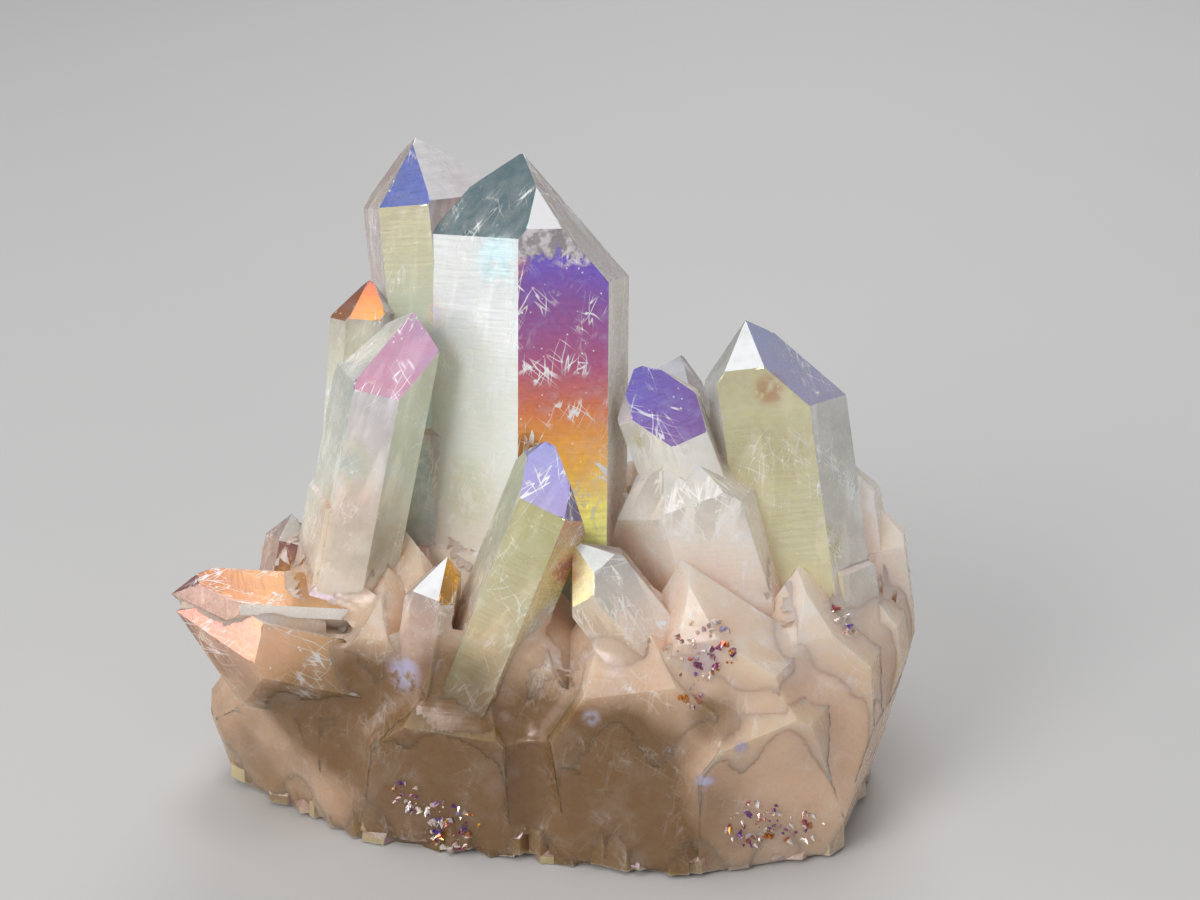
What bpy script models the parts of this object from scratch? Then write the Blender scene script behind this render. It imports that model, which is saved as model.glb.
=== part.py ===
"""Aura quartz cluster: quartz points grown together out of one milky foot.

The model is in metres with +Z up. The side with the largest faces looks towards -Y, and the
cluster stands on a flat patch at z = 0. The crystals overlap and are one solid, so the whole
cluster is one object. Sizes in the tables below are millimetres, angles are degrees.
"""
import math
import random
from collections import namedtuple

import bmesh
import bpy
from mathutils import Matrix, Vector

MM = 0.001
MERGE = 0.000001
CUT_REACH = 0.00001
FLAT_ANGLE = 0.05
NAME = "quartz_cluster"

# Quartz: six prism faces 60 degrees apart, and cap faces that lie 38.2 degrees off the axis.
FACES = 6
FACE_STEP = 60.0
CAP_SLOPE = 38.2
BLOCK = 200.0
UP = Vector((0.0, 0.0, 1.0))

# A crystal. tip: where its cap faces would meet. lean: how far the axis leans to the right and
# to the back. turn: azimuth of the first prism face, from -Y towards +X; the others follow every
# 60 degrees. sides: distance of each prism face from the axis. lifts: how far above the tip each
# cap face would cross the axis, so a lifted cap face is a small one. length: tip to broken foot.
# under: height of its underside above the ground, and how steeply that rises outwards.
# breaks: how much further out than listed the breaks round the foot cut it, or None where they
# don't.
Point = namedtuple("Point", "tip lean turn sides lifts length under breaks",
                   defaults=((0.0, 0.0), 0.0))

MAIN = Point((-1.4, 11.0, 55.8), (0.5, 15), 17, (7.2, 8.6, 8.4, 7.0, 8.8, 5.4),
             (3.1, 0.4, 0.0, 0.0, 2.8, 0.0), 42)
REAR_LEFT = Point((-10.8, 16.0, 55.9), (-5, 15), -10, (5.0, 4.3, 5.5, 5.0, 4.9, 4.6),
                  (0.6, 0.0, 4.0, 0.0, 1.5, 0.0), 46)
MIDDLE_LEFT = Point((-10.4, 4.4, 43.9), (12, 10), -12, (5.2, 3.8, 1.9, 4.0, 6.0, 4.8),
                    (0.0, 3.0, 0.0, 0.0, 3.5, 0.0), 36)
FRONT = Point((0.9, -4.5, 35.8), (22, 8), -20, (3.4, 5.8, 5.0, 3.6, 2.2, 1.2),
              (0.0, 3.0, 1.0, 0.0, 0.0, 0.0), 25)
SMALL_RIGHT = Point((8.6, 4.0, 39.9), (-22, 15), 30, (4.6, 3.6, 3.8, 4.0, 3.2, 4.0),
                    (-1.8, 0.0, 0.0, 0.0, 0.0, 0.6), 32)
RIGHT = Point((17.8, 5.0, 42.9), (-9, 15), -14, (3.0, 5.9, 7.1, 6.0, 7.0, 3.7),
              (0.0, 0.0, 1.5, 0.0, 0.0, 0.0), 36)
TALL_POINTS = [MAIN, REAR_LEFT, MIDDLE_LEFT, FRONT, SMALL_RIGHT, RIGHT]

LOW_POINTS = [
    # the small point between the rear left and the middle left ones
    Point((-14.6, 9.0, 45.2), (5, 15), 5, (2.6, 2.4, 2.6, 2.8, 2.6, 2.8),
          (0.0, 0.4, 0.0, 0.0, 0.0, 0.0), 34),
    # the tiny left point
    Point((-22.0, 5.0, 24.6), (12, 10), 10, (1.7, 1.6, 2.0, 2.2, 1.8, 1.6),
          (0.0, 0.4, 0.0, 0.0, 0.0, 0.0), 18, breaks=None),
    # the point that lies to the left, and the narrow one along its top
    Point((-30.4, -6.5, 21.0), (-68, -14), 30, (5.0, 3.0, 4.0, 4.5, 5.8, 5.8),
          (0.0, 0.0, 0.0, 0.0, 0.0, 0.0), 20, breaks=None),
    Point((-30.9, -5.5, 22.1), (-79, -14), 30, (4.2, 1.6, 2.6, 3.0, 3.4, 3.4),
          (0.0, 0.0, 0.0, 0.0, 0.0, 0.0), 20, breaks=None),
    # the small front point
    Point((-7.3, -6.5, 26.2), (9, 8), 25, (2.6, 1.3, 3.0, 3.4, 3.0, 2.4),
          (0.0, 0.0, 0.0, 0.0, 0.0, 0.0), 18),
    # the slanting point right of the front one
    Point((3.1, -8.0, 28.4), (-38, 8), -20, (3.2, 2.2, 2.6, 3.4, 3.6, 3.8),
          (0.0, 0.0, 0.0, 0.0, 0.0, 0.0), 20),
]

# A ledge is a parallel growth: the crystal it is on, how far below the tip it starts, and how
# far it stands out from each of the six prism faces.
Ledge = namedtuple("Ledge", "on drop growth")

LEDGES = [
    Ledge(MAIN, 27.0, (-0.6, 0.25, 0.4, 0.5, 0.3, 0.3)),
    Ledge(MAIN, 17.0, (-0.6, -0.6, 0.3, 0.35, 0.25, -0.6)),
    Ledge(REAR_LEFT, 9.5, (-0.5, -0.5, 0.3, 0.4, 0.35, 0.3)),
    Ledge(REAR_LEFT, 20.0, (0.4, 0.3, 0.5, 0.5, 0.8, 0.6)),
    Ledge(MIDDLE_LEFT, 11.0, (-0.5, -0.5, -0.5, 0.4, 0.5, 0.3)),
    Ledge(MIDDLE_LEFT, 18.0, (0.35, -0.5, -0.5, 0.6, 1.1, 0.6)),
    Ledge(RIGHT, 14.5, (-0.5, 0.35, 0.5, 0.4, 0.3, -0.5)),
    Ledge(RIGHT, 23.0, (0.5, 0.7, 0.9, 0.7, 0.6, 0.5)),
    Ledge(SMALL_RIGHT, 10.0, (-0.5, 0.4, 0.4, 0.4, 0.3, 0.3)),
]

# A column of the foot, a fused crystal with a blunt end that reaches down to the ground. tip
# and lean are as in a crystal, and radius is its mean half width. chisel: how far the cap faces
# that look forwards are lifted, in half widths, so that the column's front runs up to an edge.
Column = namedtuple("Column", "tip lean radius chisel", defaults=(0.0,))

FRONT_COLUMNS = [
    Column((-25.6, 2.0, 13.0), (-8, 0), 7.0, 0.3), Column((-18.8, 0.4, 18.5), (-5, 2), 8.6, 0.6),
    Column((-13.0, -0.6, 21.5), (3, 4), 8.4, 0.6), Column((-5.4, -1.6, 20.6), (5, 3), 9.6, 0.5),
    Column((1.0, -2.4, 21.5), (2, 3), 9.6, 0.6), Column((7.2, -4.8, 23.0), (-10, 3), 9.4, 0.6),
    Column((12.8, -5.4, 23.8), (-14, 4), 8.8, 0.6), Column((17.8, -6.4, 19.6), (-9, 4), 8.4, 0.5),
    Column((22.6, -2.8, 21.6), (-5, 7), 7.4, 0.7),
    # small shoulders on its front
    Column((16.4, -10.4, 15.6), (-10, 3), 2.8, 0.6), Column((-7.8, -7.6, 13.4), (10, 4), 2.6, 0.8),
    Column((11.0, -9.4, 19.0), (-24, 4), 2.6, 0.7),
]
MIDDLE_COLUMNS = [
    Column((-20.3, 7.7, 21.0), (2, 6), 4.6), Column((-10.6, 7.0, 27.0), (6, 8), 6.0),
    Column((-16.0, 4.2, 24.6), (2, 6), 6.2, 0.7), Column((-11.4, 1.6, 23.0), (5, 5), 5.6, 0.7),
    Column((-3.0, 6.0, 26.0), (0, 6), 6.6), Column((5.0, 5.0, 28.0), (-4, 6), 6.4),
    Column((11.6, 2.4, 33.4), (-18, 12), 6.4, 0.4), Column((12.6, 6.4, 28.0), (-9, 10), 6.2),
    Column((-9.5, 9.4, 36.0), (2, 12), 4.6),
]
RIGHT_COLUMNS = [
    Column((29.4, 3.0, 25.0), (-9, 8), 2.8), Column((28.4, 7.4, 22.0), (-6, 12), 3.0),
    Column((28.6, -1.2, 20.5), (-9, 8), 2.8), Column((26.0, 4.4, 29.5), (-9, 12), 3.4),
    Column((31.4, 1.4, 14.5), (-4, 6), 3.0),
]
BACK_COLUMNS = [
    Column((24.6, 13.8, 18.0), (4, 16), 4.6), Column((17.6, 16.6, 24.0), (2, 18), 4.8),
    Column((9.4, 16.4, 20.0), (-2, 18), 4.8), Column((4.2, 19.0, 27.0), (3, 19), 5.0),
    Column((-5.6, 17.0, 22.0), (-3, 18), 4.8), Column((-14.6, 16.4, 27.0), (-6, 17), 5.0),
    Column((-21.6, 12.0, 18.0), (-8, 12), 4.6),
    # small points
    Column((-17.0, 18.6, 33.0), (-9, 20), 2.5), Column((12.4, 18.0, 33.5), (6, 18), 3.0),
    Column((22.6, 12.4, 30.5), (9, 14), 2.4), Column((-24.0, 10.4, 20.0), (-17, 12), 2.2),
    Column((-1.4, 20.4, 31.0), (-2, 20), 2.4), Column((29.0, 11.0, 21.0), (15, 14), 2.0),
    Column((8.6, 22.4, 21.5), (7, 32), 2.0), Column((-9.6, 21.8, 21.0), (-10, 30), 2.2),
    Column((20.4, 20.0, 15.5), (14, 32), 1.9), Column((-19.4, 17.6, 17.0), (-20, 30), 1.9),
]
COLUMN_UNEVENNESS = 0.16
COLUMN_LIFT = 2.0
FRONT_STRAY = 14.0
BREAK_STRAY = 0.16
UNDERSIDE_HEIGHT = 0.5
UNDERSIDE_SLOPE = 6.0
SEED = 12

# Thin ribs round the lower edge of the foot, which lean in and die out upwards.
RIBS = 64
RIB_STRAY = 0.45
RIB_RADIUS = (0.7, 1.7)
RIB_HEIGHT = (1.5, 5.5)
RIB_LEAN_IN = (0.0, 8.0)
RIB_SINK = 0.70
RIB_UNDERSIDE = 0.9

# The broken outside of the foot: azimuth of each break, its distance from the middle on the
# ground, and how far it leans out.
BREAKS = [(-90, 28.0, 14), (-62, 24.5, 12), (-36, 16.6, 10), (-11, 12.4, 7), (14, 17.6, 8),
          (36, 24.8, 10), (69, 27.9, 12), (88, 29.8, 13), (118, 28.0, 16), (146, 23.5, 18),
          (174, 17.2, 20), (-162, 18.4, 18), (-133, 22.6, 16)]


def face_direction(azimuth):
    """Level direction at an azimuth measured from -Y towards +X."""
    angle = math.radians(azimuth)
    return Vector((math.sin(angle), -math.cos(angle), 0.0))


def trim(shape, on_plane, outwards):
    """Cut a closed convex shape with a plane and close the cut."""
    everything = shape.verts[:] + shape.edges[:] + shape.faces[:]
    cut = bmesh.ops.bisect_plane(shape, geom=everything, dist=CUT_REACH,
                                 plane_co=on_plane, plane_no=outwards,
                                 clear_outer=True)["geom_cut"]
    rim = [edge for edge in cut if isinstance(edge, bmesh.types.BMEdge)]
    if len(rim) > 2:
        bmesh.ops.contextual_create(shape, geom=rim)


def along(point_lean):
    """Turns upright into a crystal's lean."""
    right, back = (math.radians(angle) for angle in point_lean)
    return Matrix.Rotation(right, 4, "Y") @ Matrix.Rotation(-back, 4, "X")


def crystal(point):
    """A crystal as a closed convex shape: a block trimmed by its prism, cap and foot faces."""
    shape = bmesh.new()
    bmesh.ops.create_cube(shape, size=BLOCK)
    steepness = math.radians(CAP_SLOPE)
    for number in range(FACES):
        outwards = face_direction(point.turn + number * FACE_STEP)
        trim(shape, outwards * point.sides[number], outwards)
        cap = outwards * math.cos(steepness) + UP * math.sin(steepness)
        trim(shape, UP * point.lifts[number], cap)
    trim(shape, UP * -point.length, -UP)
    turned = along(point.lean)
    shape.transform(Matrix.Translation(point.tip) @ turned)
    if point.breaks is not None:
        for azimuth, distance, overhang in BREAKS:
            outwards = face_direction(azimuth)
            tilt = math.radians(overhang)
            trim(shape, outwards * (distance + point.breaks),
                 outwards * math.cos(tilt) - UP * math.sin(tilt))
    height, slope = point.under
    axis = turned @ UP
    ground = Vector(point.tip) - axis * (point.tip[2] / axis.z)
    outwards = Vector((ground.x, ground.y, 0.0)).normalized()
    rise = math.radians(slope)
    trim(shape, ground + UP * height, outwards * math.sin(rise) - UP * math.cos(rise))
    trim(shape, Vector((0.0, 0.0, 0.0)), -UP)
    shape.transform(Matrix.Scale(MM, 4))
    bmesh.ops.recalc_face_normals(shape, faces=shape.faces)
    return shape


def ledge_point(ledge):
    """The crystal that stands for a ledge: its host, lower down and a little wider."""
    host = ledge.on
    axis = along(host.lean) @ UP
    tip = Vector(host.tip) - axis * ledge.drop
    sides = [side + growth for side, growth in zip(host.sides, ledge.growth)]
    return Point(tuple(tip), host.lean, host.turn, sides, host.lifts, host.length - ledge.drop)


def column_point(column, chance):
    """The crystal that stands for a column, its sides and caps a little uneven."""
    sides = [column.radius * (1 + chance.uniform(-1, 1) * COLUMN_UNEVENNESS) for _ in range(FACES)]
    turn = chance.uniform(-1, 1) * FRONT_STRAY if column.chisel else chance.uniform(0, FACE_STEP)
    lifts = []
    for number in range(FACES):
        forwards = max(0.0, math.cos(math.radians(turn + number * FACE_STEP)))
        lifts.append(chance.uniform(0, COLUMN_LIFT) + column.chisel * column.radius * forwards)
    under = (chance.uniform(0, 1) * UNDERSIDE_HEIGHT, chance.uniform(0, 1) * UNDERSIDE_SLOPE)
    breaks = chance.uniform(-1, 1) * BREAK_STRAY
    return Point(column.tip, column.lean, turn, sides, lifts,
                 column.tip[2] + column.radius * 2, under, breaks)


def outline(azimuth):
    """Distance from the middle to the breaks on the ground, in one direction."""
    reach = BLOCK
    for faced, distance, _ in BREAKS:
        towards = math.cos(math.radians(azimuth - faced))
        if towards > 0:
            reach = min(reach, distance / towards)
    return reach


def rib_points(chance):
    """Thin upright crystals sunk in the lower edge of the foot."""
    points = []
    for number in range(RIBS):
        azimuth = (number + chance.uniform(-1, 1) * RIB_STRAY) * 360 / RIBS
        radius = chance.uniform(*RIB_RADIUS)
        height = chance.uniform(*RIB_HEIGHT)
        outwards = face_direction(azimuth)
        lean_in = chance.uniform(*RIB_LEAN_IN)
        place = outwards * (outline(azimuth) - radius * RIB_SINK)
        tip = place - outwards * height * math.tan(math.radians(lean_in)) + UP * height
        lean = (-lean_in * outwards.x, -lean_in * outwards.y)
        sides = [radius * (1 + chance.uniform(-1, 1) * COLUMN_UNEVENNESS) for _ in range(FACES)]
        lifts = [chance.uniform(0, 1) * radius for _ in range(FACES)]
        under = (chance.uniform(0, 1) * RIB_UNDERSIDE, chance.uniform(0, 1) * UNDERSIDE_SLOPE)
        points.append(Point(tuple(tip), lean, chance.uniform(0, FACE_STEP), sides, lifts,
                            height + radius * 2, under, None))
    return points


def place_object(name, shape, collection):
    """Make a mesh object of a shape and free the shape."""
    mesh = bpy.data.meshes.new(name)
    shape.to_mesh(mesh)
    shape.free()
    thing = bpy.data.objects.new(name, mesh)
    collection.objects.link(thing)
    return thing


def union(crystals, cutters):
    """One closed mesh of all crystals."""
    first, *others = crystals
    body = place_object("growth_first", crystal(first), cutters)
    grown = bpy.data.collections.new("grown_together")
    bpy.context.scene.collection.children.link(grown)
    for number, point in enumerate(others):
        place_object(f"growth_{number:02d}", crystal(point), grown)
    joining = body.modifiers.new("grown together", "BOOLEAN")
    joining.operation = "UNION"
    joining.operand_type = "COLLECTION"
    joining.collection = grown
    bpy.context.view_layer.update()
    graph = bpy.context.evaluated_depsgraph_get()
    mesh = bpy.data.meshes.new_from_object(body.evaluated_get(graph))
    for thing in [body, *grown.objects]:
        bpy.data.objects.remove(thing)
    bpy.data.collections.remove(grown)
    return mesh


def fill_hollows(shape):
    """Drop the closed skins of gaps left between crystals, and keep the largest skin."""
    waiting = set(shape.verts)
    skins = []
    while waiting:
        skin = {waiting.pop()}
        reached = list(skin)
        while reached:
            for edge in reached.pop().link_edges:
                for vert in edge.verts:
                    if vert in waiting:
                        waiting.remove(vert)
                        skin.add(vert)
                        reached.append(vert)
        skins.append(skin)
    skins.sort(key=len)
    for skin in skins[:-1]:
        bmesh.ops.delete(shape, geom=list(skin), context="VERTS")


def tidy(mesh):
    """Merge what the union left split, and set the middle of the box on the origin."""
    shape = bmesh.new()
    shape.from_mesh(mesh)
    fill_hollows(shape)
    bmesh.ops.remove_doubles(shape, verts=shape.verts, dist=MERGE)
    bmesh.ops.dissolve_limit(shape, angle_limit=math.radians(FLAT_ANGLE),
                             verts=shape.verts, edges=shape.edges)
    bmesh.ops.triangulate(shape, faces=shape.faces)
    low = [min(vert.co[axis] for vert in shape.verts) for axis in range(3)]
    high = [max(vert.co[axis] for vert in shape.verts) for axis in range(3)]
    middle = Vector(((low[0] + high[0]) / 2, (low[1] + high[1]) / 2, low[2]))
    bmesh.ops.translate(shape, verts=shape.verts, vec=-middle)
    shape.to_mesh(mesh)
    shape.free()
    return middle


def coated_quartz():
    """Milky quartz with a thin metal coat."""
    material = bpy.data.materials.new("coated_quartz")
    material.use_nodes = True
    shader = material.node_tree.nodes["Principled BSDF"]
    shader.inputs["Base Color"].default_value = (0.72, 0.60, 0.50, 1.0)
    shader.inputs["Roughness"].default_value = 0.12
    shader.inputs["Metallic"].default_value = 0.0
    return material


def main():
    for thing in list(bpy.data.objects):
        bpy.data.objects.remove(thing)
    scene = bpy.context.scene.collection
    cluster = bpy.data.collections.new("aura_quartz_cluster")
    cutters = bpy.data.collections.new("cutters")
    scene.children.link(cluster)
    scene.children.link(cutters)
    chance = random.Random(SEED)
    ledges = [ledge_point(ledge) for ledge in LEDGES]
    foot = FRONT_COLUMNS + MIDDLE_COLUMNS + RIGHT_COLUMNS + BACK_COLUMNS
    columns = [column_point(column, chance) for column in foot]
    mesh = union(TALL_POINTS + LOW_POINTS + ledges + columns + rib_points(chance), cutters)
    middle = tidy(mesh)
    mesh.name = NAME
    mesh.materials.append(coated_quartz())
    cluster.objects.link(bpy.data.objects.new(NAME, mesh))
    return middle


if __name__ == "__main__":
    main()
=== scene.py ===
"""Aura quartz cluster: the finish of its crystals, its small sparkling points and a plain studio.

Lengths in the tables are millimetres and angles are degrees. The crystals are listed as they
stand before the cluster was centred on its ground, so MIDDLE is taken off their places.
"""
import math
from collections import namedtuple

import bmesh
import bpy
from bpy.props import FloatProperty, FloatVectorProperty, IntProperty, PointerProperty
from mathutils import Matrix, Vector
from mathutils.bvhtree import BVHTree
from mathutils.geometry import delaunay_2d_cdt, intersect_point_line
from mathutils.kdtree import KDTree


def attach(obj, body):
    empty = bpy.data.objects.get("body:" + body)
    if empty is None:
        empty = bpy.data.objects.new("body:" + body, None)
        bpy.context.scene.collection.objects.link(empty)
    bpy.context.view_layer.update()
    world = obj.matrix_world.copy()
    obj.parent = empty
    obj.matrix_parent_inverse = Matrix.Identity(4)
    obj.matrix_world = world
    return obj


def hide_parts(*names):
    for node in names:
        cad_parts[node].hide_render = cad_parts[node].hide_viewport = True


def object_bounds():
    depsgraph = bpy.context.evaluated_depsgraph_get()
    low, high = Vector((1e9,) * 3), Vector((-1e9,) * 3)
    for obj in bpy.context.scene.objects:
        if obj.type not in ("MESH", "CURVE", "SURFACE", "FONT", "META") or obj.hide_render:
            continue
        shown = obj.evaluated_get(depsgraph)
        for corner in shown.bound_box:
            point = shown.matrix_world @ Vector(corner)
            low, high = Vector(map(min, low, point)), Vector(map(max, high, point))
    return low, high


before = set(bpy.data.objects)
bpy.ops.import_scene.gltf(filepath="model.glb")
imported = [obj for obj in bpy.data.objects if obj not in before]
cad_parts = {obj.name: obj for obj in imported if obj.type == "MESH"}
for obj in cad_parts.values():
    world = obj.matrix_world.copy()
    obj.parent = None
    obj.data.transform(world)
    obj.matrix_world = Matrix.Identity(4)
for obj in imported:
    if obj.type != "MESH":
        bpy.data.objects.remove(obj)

bl_info = {
    "name": "Aura Quartz Cluster",
    "version": (1, 0, 0),
    "blender": (4, 5, 0),
    "location": "View3D > Sidebar > Quartz",
    "description": "Finishes a quartz cluster with a rainbow metal coat",
    "category": "Object",
}

CAD_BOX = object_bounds()
SOLID = "quartz_cluster"
PIECE = "crystals"
MM = 0.001
MIDDLE = Vector((1.3577, 3.3862, 0.0))
FACES = 6
FACE_STEP = 60.0
CAP_SLOPE = 38.2
UP = Vector((0.0, 0.0, 1.0))

# The rainbow of the coat as its thickness grows: place along it and colour.
RAINBOW = [
    (0.00, (0.045, 0.10, 0.52, 1.0)),
    (0.13, (0.13, 0.10, 0.50, 1.0)),
    (0.26, (0.22, 0.09, 0.29, 1.0)),
    (0.40, (0.36, 0.09, 0.18, 1.0)),
    (0.52, (0.56, 0.17, 0.07, 1.0)),
    (0.64, (0.72, 0.36, 0.06, 1.0)),
    (0.76, (0.84, 0.74, 0.16, 1.0)),
    (0.88, (0.62, 0.76, 0.27, 1.0)),
    (0.96, (0.42, 0.74, 0.80, 1.0)),
    (1.00, (0.10, 0.24, 0.28, 1.0)),
]

# A coat on one crystal face. hue: place on the rainbow at the first and the second drop below
# the crystal's tip. drops: those two drops. strength: how much of the face it hides. pale: how
# far it is washed out with white. specks: how scratched and speckled it is. bare: how far down
# from the face's upper edge the coat is worn off.
Coat = namedtuple("Coat", "hue drops strength pale specks bare", defaults=(0.3, -9.0))

# A crystal as it was grown, with its coats. clear: the drops between which it turns from clear
# to milky. prisms and caps: face number to coat.
Crystal = namedtuple("Crystal", "name tip lean turn sides lifts length clear prisms caps")

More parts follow.
